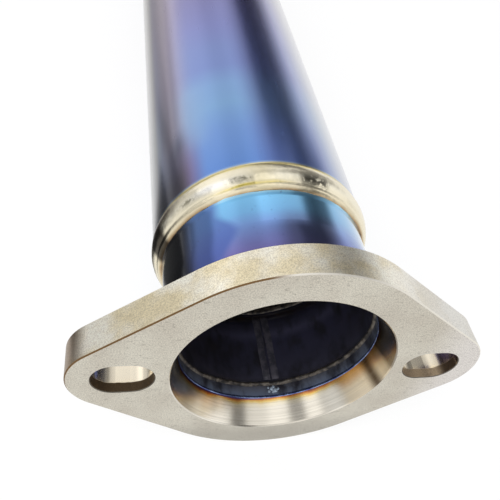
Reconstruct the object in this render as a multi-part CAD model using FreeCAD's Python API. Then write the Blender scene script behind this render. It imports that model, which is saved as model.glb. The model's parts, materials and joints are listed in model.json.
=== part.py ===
import FreeCAD, Part
import math
import os

# A straight-through exhaust muffler: two flanged necks, a thin cylindrical shell, and inside it a
# perforated core tube held by two cones and wrapped in stainless wool and glass-fibre packing.
# The tube axis is +Y, the inlet flange's gasket face is y = 0, and +Z is up. Millimetres.

# Whole part
TOTAL_LENGTH = 520.0
WALL = 1.6

# Two-bolt flanges
FLANGE_THICKNESS = 12.0
FLANGE_BODY_RADIUS = 51.0
FLANGE_EAR_RADIUS = 17.6
EAR_SPACING = 108.0
BOLT_SPACING = 107.0
SLOT_LENGTH = 20.4
SLOT_WIDTH = 15.5
BORE_MOUTH_RADIUS = 38.5
BORE_THROAT_RADIUS = 35.2
SOCKET_DEPTH = 2.0
EDGE_CHAMFER = 0.4
SLOT_CHAMFER = 0.25

# Necks: a short pipe that swells twice, gently behind the flange and then up to the shell
NECK_RADIUS = 37.5
NECK_MID_RADIUS = 39.1
SWELL_START = 17.0
SWELL_END = 34.0
SHOULDER_START = 46.0

# Shell
SHELL_RADIUS = 42.0
SHELL_START = 56.0
SEAM_ANGLE = 7.5
SHELL_SEAM_WIDTH = 5.0
SHELL_SEAM_HEIGHT = 0.35
SHELL_SEAM_GAP = 1.5

# Welds at each end
FLANGE_FILLET = 5.0
FLANGE_FILLET_DOME = 2.9
BORE_WELD_WIDTH = 1.3
BORE_WELD_HEIGHT = 1.0
ROOT_BEAD_PLACE = 16.6
ROOT_BEAD_WIDTH = 2.6
ROOT_BEAD_HEIGHT = 1.2
NECK_SEAM_START = 18.6
NECK_SEAM_END = 52.0
NECK_SEAM_SPREAD = 8.0
NECK_SEAM_HEIGHT = 0.4
SHELL_WELD_START = 48.2
SHELL_WELD_TOE = 39.95
SHELL_WELD_SHOULDER = 52.2
SHELL_WELD_VALLEY = 55.6
SHELL_WELD_END = 59.3
SHELL_WELD_RIDGE = 0.7
SHELL_WELD_DIP = 0.4
SHELL_ROOT_WIDTH = 4.0
SHELL_ROOT_HEIGHT = 0.9

# End cones that carry the core
CONE_LIP_START = 62.0
CONE_LIP_END = 70.0
CONE_SMALL_END = 96.0
COLLAR_END = 110.0
CONE_WALL = 1.5
CONE_WELD_SIZE = 2.4
CORE_SEAT_DEPTH = 12.0
SLIP_CLEARANCE = 0.15

# Perforated core tube
CORE_RADIUS = 30.15
CORE_WALL = 1.5
HOLE_DIAMETER = 6.0
HOLE_ROW_PITCH = 12.0
HOLES_AROUND = 14
CORE_WELD_SIZE = 1.5

# Sound absorbing fill
WOOL_THICKNESS = 2.0
TIE_COUNT = 6
TIE_WIDTH = 4.0
TIE_THICKNESS = 0.5
FILL_CLEARANCE = 0.2
PACKING_RADIUS = 39.9
SUPPORT_RING_THICKNESS = 2.0

# How near a plane an edge lies to count as in it
NEAR_ENOUGH = 1e-3

# Worked out from the sizes above
AXIS_START = FreeCAD.Vector(0, 0, 0)
AXIS = FreeCAD.Vector(0, 1, 0)
MIDDLE = TOTAL_LENGTH / 2
SOCKET_FLOOR = FLANGE_THICKNESS - SOCKET_DEPTH
NECK_INNER = NECK_RADIUS - WALL
SHELL_INNER = SHELL_RADIUS - WALL
CORE_START = COLLAR_END - CORE_SEAT_DEPTH
CORE_END = TOTAL_LENGTH - CORE_START
COLLAR_RADIUS = CORE_RADIUS + CONE_WALL
OUTLET_COLLAR_INNER = CORE_RADIUS + SLIP_CLEARANCE
WOOL_RADIUS = CORE_RADIUS + WOOL_THICKNESS
WOOL_START = COLLAR_END + CORE_WELD_SIZE + FILL_CLEARANCE
WOOL_END = TOTAL_LENGTH - WOOL_START


def point(along, radius):
    """A point of a turned profile: its place along the tube axis and its radius."""
    return FreeCAD.Vector(radius, along, 0)


def line(start, end):
    return Part.LineSegment(point(*start), point(*end)).toShape()


def arc(start, middle, end):
    return Part.Arc(point(*start), point(*middle), point(*end)).toShape()


def polyline(points):
    return [line(a, b) for a, b in zip(points, points[1:])]


def turned(edges, start_angle=0.0, sweep=360.0):
    """The solid that a closed profile sweeps about the tube axis. Angle 0 is +X, 90 is -Z."""
    face = Part.Face(Part.Wire(Part.__sortEdges__(edges)))
    face.rotate(AXIS_START, AXIS, start_angle)
    return face.revolve(AXIS_START, AXIS, sweep)


def turned_polygon(points, start_angle=0.0, sweep=360.0):
    return turned(polyline(points + points[:1]), start_angle, sweep)


def pipe(start, end, inner, outer):
    corners = [(start, inner), (end, inner), (end, outer), (start, outer)]
    return turned_polygon(corners)


def ogee(start, end):
    """Two tangent arcs that rise smoothly from one cylinder to a wider one."""
    half_length = (end[0] - start[0]) / 2
    half_rise = (end[1] - start[1]) / 2
    bend_radius = (half_length ** 2 + half_rise ** 2) / (2 * half_rise)
    turn = math.asin(half_length / bend_radius) / 2
    along = bend_radius * math.sin(turn)
    rise = bend_radius * (1 - math.cos(turn))
    middle = (start[0] + half_length, start[1] + half_rise)
    return [
        arc(start, (start[0] + along, start[1] + rise), middle),
        arc(middle, (end[0] - along, end[1] - rise), end),
    ]


def neck_line(drop):
    """The neck's outer line, moved inwards by drop, from the flange socket to the shell."""
    small, medium, large = NECK_RADIUS - drop, NECK_MID_RADIUS - drop, SHELL_RADIUS - drop
    return (
        polyline([(SOCKET_FLOOR, small), (SWELL_START, small)])
        + ogee((SWELL_START, small), (SWELL_END, medium))
        + polyline([(SWELL_END, medium), (SHOULDER_START, medium)])
        + ogee((SHOULDER_START, medium), (SHELL_START, large))
    )


def neck_layer(outer_drop, inner_drop, start_angle=0.0, sweep=360.0):
    """A layer between two copies of the neck's line, all round or over part of the circle."""
    edges = neck_line(outer_drop) + neck_line(inner_drop)
    for place, radius in ((SOCKET_FLOOR, NECK_RADIUS), (SHELL_START, SHELL_RADIUS)):
        edges.append(line((place, radius - outer_drop), (place, radius - inner_drop)))
    return turned(edges, start_angle, sweep)


def mirrored(shape):
    """The same piece at the outlet end."""
    return shape.mirror(FreeCAD.Vector(0, MIDDLE, 0), AXIS)


def save(name, shape):
    shape.exportStep("parts/" + name + ".step")


# Flanges

def on_circle(centre, radius, angle):
    """A point of the gasket face, on a circle about a centre on the X axis."""
    return FreeCAD.Vector(centre + radius * math.cos(angle), 0, radius * math.sin(angle))


def round_stretch(circle, first, last):
    """The arc of a circle, given as (centre, radius), between two angles."""
    centre, radius = circle
    angles = (first, (first + last) / 2, last)
    return Part.Arc(*[on_circle(centre, radius, angle) for angle in angles]).toShape()


def belt(circles):
    """The closed wire round circles in line, given as (centre, radius) from left to right, with
    their outer tangents between them."""
    edges = []
    tilts = []
    for (centre, radius), (next_centre, next_radius) in zip(circles, circles[1:]):
        tilt = math.acos((radius - next_radius) / (next_centre - centre))
        tilts.append(tilt)
        for angle in (tilt, -tilt):
            start = on_circle(centre, radius, angle)
            end = on_circle(next_centre, next_radius, angle)
            edges.append(Part.LineSegment(start, end).toShape())
    edges.append(round_stretch(circles[0], tilts[0], 2 * math.pi - tilts[0]))
    edges.append(round_stretch(circles[-1], -tilts[-1], tilts[-1]))
    for circle, before, after in zip(circles[1:-1], tilts, tilts[1:]):
        edges.append(round_stretch(circle, before, after))
        edges.append(round_stretch(circle, -before, -after))
    return Part.Wire(Part.__sortEdges__(edges))


def plate_from(circles):
    """A plate of the flange's thickness with the outline of a belt round the circles."""
    return Part.Face(belt(circles)).extrude(FreeCAD.Vector(0, FLANGE_THICKNESS, 0))


def slot_cutter(centre):
    """A stadium-shaped hole through the flange, long across the part."""
    radius = SLOT_WIDTH / 2
    reach = SLOT_LENGTH / 2 - radius
    return plate_from([(centre - reach, radius), (centre + reach, radius)])


def face_edges(flange):
    """The edges that lie in one of the flange's two flat faces."""
    found = []
    for edge in flange.Edges:
        low, high = edge.BoundBox.YMin, edge.BoundBox.YMax
        in_one_plane = high - low < NEAR_ENOUGH
        if in_one_plane and (low < NEAR_ENOUGH or high > FLANGE_THICKNESS - NEAR_ENOUGH):
            found.append(edge)
    return found


def is_on_slot(edge):
    """Whether an edge belongs to one of the two bolt slots."""
    box = edge.BoundBox
    across = [abs(box.XMin), abs(box.XMax)]
    reach = SLOT_LENGTH / 2 + NEAR_ENOUGH
    beside_slot = max(abs(place - BOLT_SPACING / 2) for place in across) < reach
    return beside_slot and max(abs(box.ZMin), abs(box.ZMax)) < SLOT_WIDTH / 2 + NEAR_ENOUGH


def make_flange():
    ear = EAR_SPACING / 2
    plate = plate_from([
        (-ear, FLANGE_EAR_RADIUS),
        (0, FLANGE_BODY_RADIUS),
        (ear, FLANGE_EAR_RADIUS),
    ])
    plate = plate.makeChamfer(EDGE_CHAMFER, face_edges(plate))
    bore = turned_polygon([
        (0, 0),
        (0, BORE_MOUTH_RADIUS + EDGE_CHAMFER),
        (EDGE_CHAMFER, BORE_MOUTH_RADIUS),
        (SOCKET_FLOOR, BORE_THROAT_RADIUS),
        (SOCKET_FLOOR, NECK_RADIUS),
        (FLANGE_THICKNESS, NECK_RADIUS),
        (FLANGE_THICKNESS, 0),
    ])
    slots = [slot_cutter(side * BOLT_SPACING / 2) for side in (-1, 1)]
    plate = plate.cut([bore] + slots)
    slot_edges = [edge for edge in face_edges(plate) if is_on_slot(edge)]
    return plate.makeChamfer(SLOT_CHAMFER, slot_edges)


# Necks and shell

def make_neck():
    return neck_layer(0, WALL)


def make_shell():
    return pipe(SHELL_START, TOTAL_LENGTH - SHELL_START, SHELL_INNER, SHELL_RADIUS)


def seam_start_angle(spread):
    """Where a strip of the given spread starts, so that it is centred on the seam."""
    bottom = 90.0
    return bottom - SEAM_ANGLE - spread / 2


def make_neck_seam():
    """The raised lengthwise weld on the neck's inner wall."""
    start_angle = seam_start_angle(NECK_SEAM_SPREAD)
    strip = neck_layer(WALL, WALL + NECK_SEAM_HEIGHT, start_angle, NECK_SEAM_SPREAD)
    return strip.common(pipe(NECK_SEAM_START, NECK_SEAM_END, NECK_INNER / 2, SHELL_RADIUS))


def make_shell_seam():
    """The raised root of the shell's lengthwise weld, between the two cones' lips."""
    start = CONE_LIP_END + SHELL_SEAM_GAP
    end = TOTAL_LENGTH - start
    inner = SHELL_INNER - SHELL_SEAM_HEIGHT
    corners = [(start, inner), (end, inner), (end, SHELL_INNER), (start, SHELL_INNER)]
    spread = math.degrees(SHELL_SEAM_WIDTH / SHELL_INNER)
    return turned_polygon(corners, seam_start_angle(spread), spread)


# Welds

def make_flange_weld():
    """The fillet between the back of the flange and the neck, slightly domed."""
    back, foot = FLANGE_THICKNESS, NECK_RADIUS
    size = FLANGE_FILLET
    dome = (back + FLANGE_FILLET_DOME, foot + FLANGE_FILLET_DOME)
    edges = polyline([(back + size, foot), (back, foot), (back, foot + size)])
    edges.append(arc((back, foot + size), dome, (back + size, foot)))
    return turned(edges)


def make_bore_weld():
    """The thin seal weld in the corner between the flange's throat and the end of the neck."""
    start, end = SOCKET_FLOOR, SOCKET_FLOOR + BORE_WELD_WIDTH
    top = NECK_INNER - BORE_WELD_HEIGHT
    edges = polyline([(end, NECK_INNER), (start, NECK_INNER), (start, BORE_THROAT_RADIUS)])
    edges.append(arc((start, BORE_THROAT_RADIUS), (start + BORE_WELD_WIDTH / 2, top), (end, NECK_INNER)))
    return turned(edges)


def round_bead(place, width, height, wall):
    """A low round bead on the inside of a tube of inner radius wall."""
    start, end = (place - width / 2, wall), (place + width / 2, wall)
    return turned([line(start, end), arc(start, (place, wall - height), end)])


def make_shell_weld(neck, shell):
    """The wide cap over the joint of neck and shell: a rounded shoulder and a second ridge."""
    toe = (SHELL_WELD_START, SHELL_WELD_TOE)
    valley = (SHELL_WELD_VALLEY, SHELL_RADIUS + SHELL_WELD_DIP)
    heel = (SHELL_WELD_END, SHELL_RADIUS)
    shoulder = (SHELL_WELD_SHOULDER, SHELL_RADIUS)
    ridge = ((SHELL_WELD_VALLEY + SHELL_WELD_END) / 2, SHELL_RADIUS + SHELL_WELD_RIDGE)
    below = NECK_MID_RADIUS - WALL / 2
    cap = turned(
        polyline([heel, (SHELL_WELD_END, below), (SHELL_WELD_START, below), toe])
        + [arc(toe, shoulder, valley), arc(valley, ridge, heel)]
    )
    pieces = cap.cut([neck, shell]).Solids
    return max(pieces, key=lambda piece: max(corner.X for corner in piece.Vertexes))


def make_shell_root(neck):
    """The root of that weld, a low bead round the inside of the joint."""
    return round_bead(SHELL_START, SHELL_ROOT_WIDTH, SHELL_ROOT_HEIGHT, SHELL_INNER).cut(neck)


# Cones, core and fill

def make_cone(collar_inner):
    """A spun cone: a lip inside the shell, a taper, and a collar round the end of the core."""
    collar_outer = collar_inner + CONE_WALL
    lip_inner = SHELL_INNER - CONE_WALL
    return turned_polygon([
        (CONE_LIP_START, lip_inner),
        (CONE_LIP_END, lip_inner),
        (CONE_SMALL_END, collar_inner),
        (COLLAR_END, collar_inner),
        (COLLAR_END, collar_outer),
        (CONE_SMALL_END, collar_outer),
        (CONE_LIP_END, SHELL_INNER),
        (CONE_LIP_START, SHELL_INNER),
    ])


def make_cone_weld():
    """The fillet that holds the cone's lip to the shell."""
    size = CONE_WELD_SIZE
    lip_inner = SHELL_INNER - CONE_WALL
    return turned_polygon([
        (CONE_LIP_START - size, SHELL_INNER),
        (CONE_LIP_START, lip_inner),
        (CONE_LIP_START, SHELL_INNER),
    ])


def make_core_weld():
    """The fillet that fixes the core to the inlet cone's collar."""
    return turned_polygon([
        (COLLAR_END, CORE_RADIUS),
        (COLLAR_END, COLLAR_RADIUS),
        (COLLAR_END + CORE_WELD_SIZE, CORE_RADIUS),
    ])


def make_core_tube():
    """The core with its staggered rows of holes; one drill passes through both sides."""
    tube = pipe(CORE_START, CORE_END, CORE_RADIUS - CORE_WALL, CORE_RADIUS)
    free_length = WOOL_END - WOOL_START - HOLE_DIAMETER
    rows = int(free_length / HOLE_ROW_PITCH)
    first_row = MIDDLE - (rows - 1) * HOLE_ROW_PITCH / 2
    step = 360.0 / HOLES_AROUND
    drills = []
    for row in range(rows):
        stagger = step / 2 if row % 2 else 0.0
        for hole in range(HOLES_AROUND // 2):
            drill = Part.makeCylinder(
                HOLE_DIAMETER / 2,
                2 * COLLAR_RADIUS,
                FreeCAD.Vector(-COLLAR_RADIUS, first_row + row * HOLE_ROW_PITCH, 0),
                FreeCAD.Vector(1, 0, 0),
            )
            drill.rotate(AXIS_START, AXIS, hole * step + stagger)
            drills.append(drill)
    return tube.cut(Part.makeCompound(drills))


def tie_places():
    """Where the bands lie: evenly along each half of the wrap, clear of the support ring."""
    gap = (WOOL_END - WOOL_START) / TIE_COUNT
    return [WOOL_START + gap * (index + 0.5) for index in range(TIE_COUNT)]


def make_wrap_ties():
    bands = []
    for place in tie_places():
        start, end = place - TIE_WIDTH / 2, place + TIE_WIDTH / 2
        bands.append(pipe(start, end, WOOL_RADIUS, WOOL_RADIUS + TIE_THICKNESS))
    return Part.makeCompound(bands)


def make_packing():
    """The front half of the glass-fibre fill, moulded over the cone, the wrap and its bands."""
    collar = OUTLET_COLLAR_INNER + CONE_WALL + FILL_CLEARANCE
    taper_end = CONE_SMALL_END + FILL_CLEARANCE
    taper_slope = (CONE_SMALL_END - CONE_LIP_END) / (SHELL_INNER - COLLAR_RADIUS)
    tip = taper_end - (PACKING_RADIUS - collar) * taper_slope
    last = MIDDLE - SUPPORT_RING_THICKNESS / 2
    corners = [(tip, PACKING_RADIUS), (taper_end, collar), (WOOL_START, collar), (WOOL_START, WOOL_RADIUS)]
    for place in tie_places():
        if place < MIDDLE:
            start, end = place - TIE_WIDTH / 2, place + TIE_WIDTH / 2
            band = WOOL_RADIUS + TIE_THICKNESS
            corners += [(start, WOOL_RADIUS), (start, band), (end, band), (end, WOOL_RADIUS)]
    corners += [(last, WOOL_RADIUS), (last, PACKING_RADIUS)]
    return turned_polygon(corners)


def make_support_ring():
    start = MIDDLE - SUPPORT_RING_THICKNESS / 2
    return pipe(start, start + SUPPORT_RING_THICKNESS, WOOL_RADIUS, PACKING_RADIUS)


def main():
    os.makedirs("parts", exist_ok=True)
    neck = make_neck()
    shell = make_shell()
    both_ends = {
        "flange": make_flange(),
        "neck": neck,
        "neck_seam": make_neck_seam(),
        "flange_weld": make_flange_weld(),
        "bore_weld": make_bore_weld(),
        "root_bead": round_bead(ROOT_BEAD_PLACE, ROOT_BEAD_WIDTH, ROOT_BEAD_HEIGHT, NECK_INNER),
        "shell_weld": make_shell_weld(neck, shell),
        "shell_root": make_shell_root(neck),
        "cone_weld": make_cone_weld(),
    }
    for name, shape in both_ends.items():
        save("inlet_" + name, shape)
        save("outlet_" + name, mirrored(shape))
    save("shell", shell)
    save("shell_seam", make_shell_seam())
    save("inlet_cone", make_cone(CORE_RADIUS))
    save("outlet_cone", mirrored(make_cone(OUTLET_COLLAR_INNER)))
    save("core_weld", make_core_weld())
    save("core_tube", make_core_tube())
    save("wool_wrap", pipe(WOOL_START, WOOL_END, CORE_RADIUS, WOOL_RADIUS))
    save("wrap_ties", make_wrap_ties())
    packing = make_packing()
    save("packing_front", packing)
    save("packing_rear", mirrored(packing))
    save("support_ring", make_support_ring())


main()
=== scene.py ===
import json
import math

import bmesh
import bpy
from mathutils import Matrix, Vector, noise


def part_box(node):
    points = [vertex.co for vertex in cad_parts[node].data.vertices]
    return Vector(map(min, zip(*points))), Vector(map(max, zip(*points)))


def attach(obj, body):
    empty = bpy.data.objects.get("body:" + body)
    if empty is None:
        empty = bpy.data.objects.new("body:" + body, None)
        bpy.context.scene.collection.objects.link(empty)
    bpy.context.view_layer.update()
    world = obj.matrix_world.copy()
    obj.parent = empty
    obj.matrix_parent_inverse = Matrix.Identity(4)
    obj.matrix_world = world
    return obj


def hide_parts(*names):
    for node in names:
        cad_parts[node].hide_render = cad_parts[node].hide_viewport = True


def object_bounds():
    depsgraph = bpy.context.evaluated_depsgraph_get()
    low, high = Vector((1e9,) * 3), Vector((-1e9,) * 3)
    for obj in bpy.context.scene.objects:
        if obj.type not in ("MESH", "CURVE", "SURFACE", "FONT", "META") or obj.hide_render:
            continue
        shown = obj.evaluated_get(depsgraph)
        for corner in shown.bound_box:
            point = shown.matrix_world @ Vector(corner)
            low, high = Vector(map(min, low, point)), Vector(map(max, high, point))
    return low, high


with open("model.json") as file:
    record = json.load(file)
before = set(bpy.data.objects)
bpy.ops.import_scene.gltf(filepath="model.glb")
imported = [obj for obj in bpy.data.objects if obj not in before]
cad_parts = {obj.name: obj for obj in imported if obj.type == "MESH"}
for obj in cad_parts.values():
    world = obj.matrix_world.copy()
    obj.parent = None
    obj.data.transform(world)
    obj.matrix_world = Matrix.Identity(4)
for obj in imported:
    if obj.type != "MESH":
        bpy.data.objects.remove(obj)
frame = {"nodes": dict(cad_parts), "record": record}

# The looks of the exhaust muffler: detailed welds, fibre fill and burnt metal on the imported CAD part

cad_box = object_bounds()
NODES = frame["nodes"]
MM = 0.001

# Sizes in millimetres, with places along the tube measured from the inlet flange's face
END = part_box("outlet_flange")[1][1] / MM
SHELL_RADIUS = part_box("shell")[1][0] / MM
SHELL_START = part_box("shell")[0][1] / MM
FLANGE_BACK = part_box("inlet_flange")[1][1] / MM
WALL = 1.6
SHELL_INNER = SHELL_RADIUS - WALL
NECK_RADIUS = 37.5
NECK_MID_RADIUS = 39.1
SWELL_START, SWELL_END = 17.0, 34.0
SHOULDER_START = 46.0
# Each bolt slot is a round hole drawn out by the reach to both sides of its place
BOLT_PLACE = 53.5
SLOT_REACH = 2.45
SLOT_RADIUS = 7.75
SHELL_SEAM_START = 71.5

# Edges sharper than this are drawn sharp, in degrees
SHARP_ABOVE = 50
# The lengthwise seams: their place in degrees round the tube from the top, and in millimetres
# their height and the step from one cross-section to the next
SEAM_TURN = 172.5
SEAM_HEIGHT = 0.34
SEAM_STEP = 0.35
# How far a ripple's middle runs ahead of its ends, as a share of its width
RIPPLE_BOW = 0.55
# The glass fibre's mesh size, and how deep its surface is pressed in
FIBRE_VOXEL = 1.9
FIBRE_DEPTH = 0.9

ENDS = ("inlet", "outlet")


# Meshes

def put_in_scene(name, mesh):
    piece = bpy.data.objects.new(name, mesh)
    bpy.context.collection.objects.link(piece)
    return piece


def smooth_mesh(name, points, faces):
    mesh = bpy.data.meshes.new(name)
    mesh.from_pydata([Vector(point) * MM for point in points], [], faces)
    mesh.validate()
    mesh.shade_smooth()
    mesh.set_sharp_from_angle(angle=math.radians(SHARP_ABOVE))
    return mesh


def on_tube(along, radius, turn):
    """The point at an angle of turn radians from the top towards +X."""
    return (radius * math.sin(turn), along, radius * math.cos(turn))


def smooth_line(points, steps):
    """A Catmull-Rom line through points, with steps pieces between each two."""
    line = []
    ends = [points[0]] + list(points) + [points[-1]]
    for before, start, end, after in zip(ends, ends[1:], ends[2:], ends[3:]):
        for step in range(steps):
            t = step / steps
            line.append(tuple(
                0.5 * (2 * b + (c - a) * t + (2 * a - 5 * b + 4 * c - d) * t ** 2
                       + (3 * b - a - 3 * c + d) * t ** 3)
                for a, b, c, d in zip(before, start, end, after)
            ))
    line.append(tuple(points[-1]))
    return line


def walls(count, pairs):
    """Faces that join closed sections of count points, for pairs of neighbouring section numbers."""
    faces = []
    for here, there in pairs:
        for index in range(count):
            beside = (index + 1) % count
            faces.append((here * count + index, here * count + beside,
                          there * count + beside, there * count + index))
    return faces


def ring_mesh(name, shown, hidden, steps, shift):
    """A closed ring round the tube's axis. Its section is the line shown, of (along, radius), and
    the plain line hidden that closes it inside the metal. shift(along, radius, turn, part) is what
    is added to a shown point's place and radius, where part goes from 0 to 1 along the line."""
    section = shown + hidden
    count = len(section)
    points = []
    for step in range(steps):
        turn = 2 * math.pi * step / steps
        for index, (along, radius) in enumerate(section):
            if index < len(shown):
                d_along, d_radius = shift(along, radius, turn, index / (len(shown) - 1))
                along, radius = along + d_along, radius + d_radius
            points.append(on_tube(along, radius, turn))
    faces = walls(count, [(step, (step + 1) % steps) for step in range(steps)])
    return turned_outwards(smooth_mesh(name, points, faces))


def turned_outwards(mesh):
    """The mesh with its faces' fronts outside."""
    work = bmesh.new()
    work.from_mesh(mesh)
    bmesh.ops.recalc_face_normals(work, faces=work.faces)
    work.to_mesh(mesh)
    work.free()
    return mesh


def at_outlet(mesh, name):
    """A mirrored copy of an inlet mesh."""
    copy = mesh.copy()
    copy.name = name
    copy.transform(Matrix.Translation((0, END * MM, 0)) @ Matrix.Scale(-1, 4, (0, 1, 0)))
    copy.flip_normals()
    return copy


def wobble(turn, along, size, seed, radius=40.0):
    """Smooth noise on a cylinder, from about -1 to 1, with features of a size in millimetres."""
    place = Vector(on_tube(along, radius, turn)) / size
    return noise.noise(place + Vector((seed, 0.7 * seed, -seed)))


def coins(turn, part, count):
    """The stacked ripples of a hand-made weld: 0 between two, 1 on the crest of each."""
    phase = (turn / (2 * math.pi) * count + RIPPLE_BOW * (2 * part - 1) ** 2) % 1.0
    return math.sqrt(max(0.0, 1 - (2 * phase - 1) ** 2))


def ogee(start, end, along):
    """The radius on a swell of two tangent arcs between two (along, radius) points."""
    half_length = (end[0] - start[0]) / 2
    half_rise = (end[1] - start[1]) / 2
    bend = (half_length ** 2 + half_rise ** 2) / (2 * half_rise)
    if along - start[0] < half_length:
        return start[1] + bend - math.sqrt(bend ** 2 - (along - start[0]) ** 2)
    return end[1] - bend + math.sqrt(bend ** 2 - (end[0] - along) ** 2)


def crest(part):
    """How high a bead stands across its width: 0 at both edges, 1 in the middle."""
    return math.sin(math.pi * part)


def peak(along, place, width):
    """1 at a place along the tube, falling away smoothly on both sides."""
    return math.exp(-((along - place) / width) ** 2)


def neck_radius(along):
    """The neck's outer radius at a place along the tube."""
    if along <= SWELL_START:
        return NECK_RADIUS
    if along < SWELL_END:
        return ogee((SWELL_START, NECK_RADIUS), (SWELL_END, NECK_MID_RADIUS), along)
    if along <= SHOULDER_START:
        return NECK_MID_RADIUS
    if along < SHELL_START:
        return ogee((SHOULDER_START, NECK_MID_RADIUS), (SHELL_START, SHELL_RADIUS), along)
    return SHELL_RADIUS


def neck_inner(along):
    return neck_radius(along) - WALL


# Welds

def shell_weld_mesh():
    """The wide cap: a lip on the neck, a groove, and a rounded shoulder that runs onto the shell."""
    shown = smooth_line([
        (59.6, 41.85), (59.0, 42.2), (57.8, 42.6), (56.0, 42.78), (54.2, 42.62), (52.6, 42.12),
        (51.4, 41.55), (50.6, 41.15), (49.8, 40.8), (49.1, 40.45), (48.6, 40.05), (48.2, 39.5),
    ], 4)
    sunk = 0.4
    hidden = [(along, neck_radius(along) - sunk) for along in (47.9, 50.0, 52.0, 54.0, 56.0)]
    hidden.append((59.0, SHELL_RADIUS - sunk))
    deepest_turn, deepest_width = -0.25, 0.45

    def shift(along, radius, turn, part):
        toe = 0.55 * wobble(turn, 0, 13, 3) + 0.22 * wobble(turn, 0, 3.5, 8)
        heel = 0.18 * wobble(turn, 0, 9, 5) + 0.07 * wobble(turn, 0, 2.2, 6)
        swell = 0.16 * wobble(turn, along, 6.5, 1) + 0.05 * wobble(turn, along, 1.7, 2)
        deepest = math.exp(-((turn - deepest_turn) / deepest_width) ** 2)
        depth = max(0.0, 0.35 + 0.45 * wobble(turn, 0, 22, 11) + 0.4 * deepest)
        groove = depth * 0.42 * peak(along, 50.7, 0.55)
        lip = depth * 0.25 * peak(along, 49.4, 0.5)
        return toe * part ** 2 + heel * (1 - part) ** 2, swell * crest(part) - groove + lip

    return ring_mesh("shell_weld", shown, hidden, 640, shift)


def root_bead_mesh():
    """The rough ring of weld that came through the wall behind the flange."""
    shown = smooth_line([
        (15.5, 36.1), (15.8, 35.6), (16.2, 35.22), (16.6, 35.08), (17.0, 35.22), (17.4, 35.6),
        (17.7, 36.1),
    ], 3)
    hidden = [(17.3, 36.6), (15.9, 36.6)]

    def shift(along, radius, turn, part):
        path = 0.36 * wobble(turn, 0, 10, 4) + 0.16 * wobble(turn, 0, 2.6, 9)
        crumbs = 0.2 * wobble(turn, along, 1.3, 3, 35) + 0.16 * wobble(turn, along, 3.6, 7, 35)
        return path, crumbs * crest(part)

    return ring_mesh("root_bead", shown, hidden, 900, shift)


def bore_weld_mesh():
    """The thin seal weld in the corner of the flange's throat and the neck."""
    shown = smooth_line([(9.9, 35.3), (10.3, 35.08), (10.8, 35.2), (11.3, 35.6), (11.7, 36.1)], 3)
    hidden = [(11.0, 36.5), (9.9, 36.5)]

    def shift(along, radius, turn, part):
        raised = 0.07 * wobble(turn, along, 1.1, 2, 35) - 0.06 * coins(turn, part, 190)
        return 0.05 * wobble(turn, 0, 3, 4), crest(part) * raised

    return ring_mesh("bore_weld", shown, hidden, 1140, shift)


def flange_weld_mesh():
    """The fillet behind the flange, laid down as a row of overlapping ripples."""
    shown = smooth_line([
        (FLANGE_BACK - 0.2, 42.6), (12.6, 42.05), (13.7, 41.25), (14.9, 40.15), (15.9, 38.95),
        (16.7, 37.95), (17.3, 37.2),
    ], 4)
    hidden = [(16.4, 37.0), (FLANGE_BACK - 0.2, 37.0)]

    def shift(along, radius, turn, part):
        raised = crest(part) ** 0.5 * (0.26 * coins(turn, part, 104) - 0.1)
        raised += crest(part) * 0.18 * wobble(turn, along, 8, 3)
        edge = 0.25 * wobble(turn, 0, 5, 6) * (2 * part - 1)
        return (raised + edge) * 0.7, (raised - edge) * 0.7

    return ring_mesh("flange_weld", shown, hidden, 1248, shift)


def shell_root_mesh():
    """The root of the shell's weld, a low uneven bead round the inside of the joint."""
    shown = smooth_line([
        (54.2, 40.6), (54.6, 40.15), (55.2, 39.85), (56.0, 39.75), (56.8, 39.85), (57.4, 40.15),
        (57.8, 40.6),
    ], 3)
    hidden = [(57.2, 41.0), (55.0, 41.0)]

    def shift(along, radius, turn, part):
        path = 0.4 * wobble(turn, 0, 14, 4) + 0.15 * wobble(turn, 0, 3, 9)
        lumps = 0.2 * wobble(turn, along, 4, 3) - 0.14 * coins(turn, part, 100)
        return path, lumps * crest(part)

    return ring_mesh("shell_root", shown, hidden, 1000, shift)


def cone_weld_mesh():
    """The fillet between the cone's lip and the shell."""
    shown = smooth_line([(59.4, 40.6), (60.1, 40.15), (61.1, 39.4), (61.8, 38.95), (62.3, 38.7)], 4)
    hidden = [(62.3, 40.7)]

    def shift(along, radius, turn, part):
        raised = crest(part) * (0.22 * coins(turn, part, 110) - 0.06)
        return -0.7 * raised, -0.7 * raised

    return ring_mesh("cone_weld", shown, hidden, 1100, shift)


def core_weld_mesh():
    """The fillet that holds the core in the inlet cone's collar."""
    shown = smooth_line([(109.8, 31.75), (110.4, 31.3), (111.0, 30.7), (111.6, 30.0)], 4)
    hidden = [(109.8, 30.0)]

    def shift(along, radius, turn, part):
        raised = crest(part) * (0.14 * coins(turn, part, 120) - 0.05)
        return 0.7 * raised, 0.7 * raised

    return ring_mesh("core_weld", shown, hidden, 960, shift)


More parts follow.
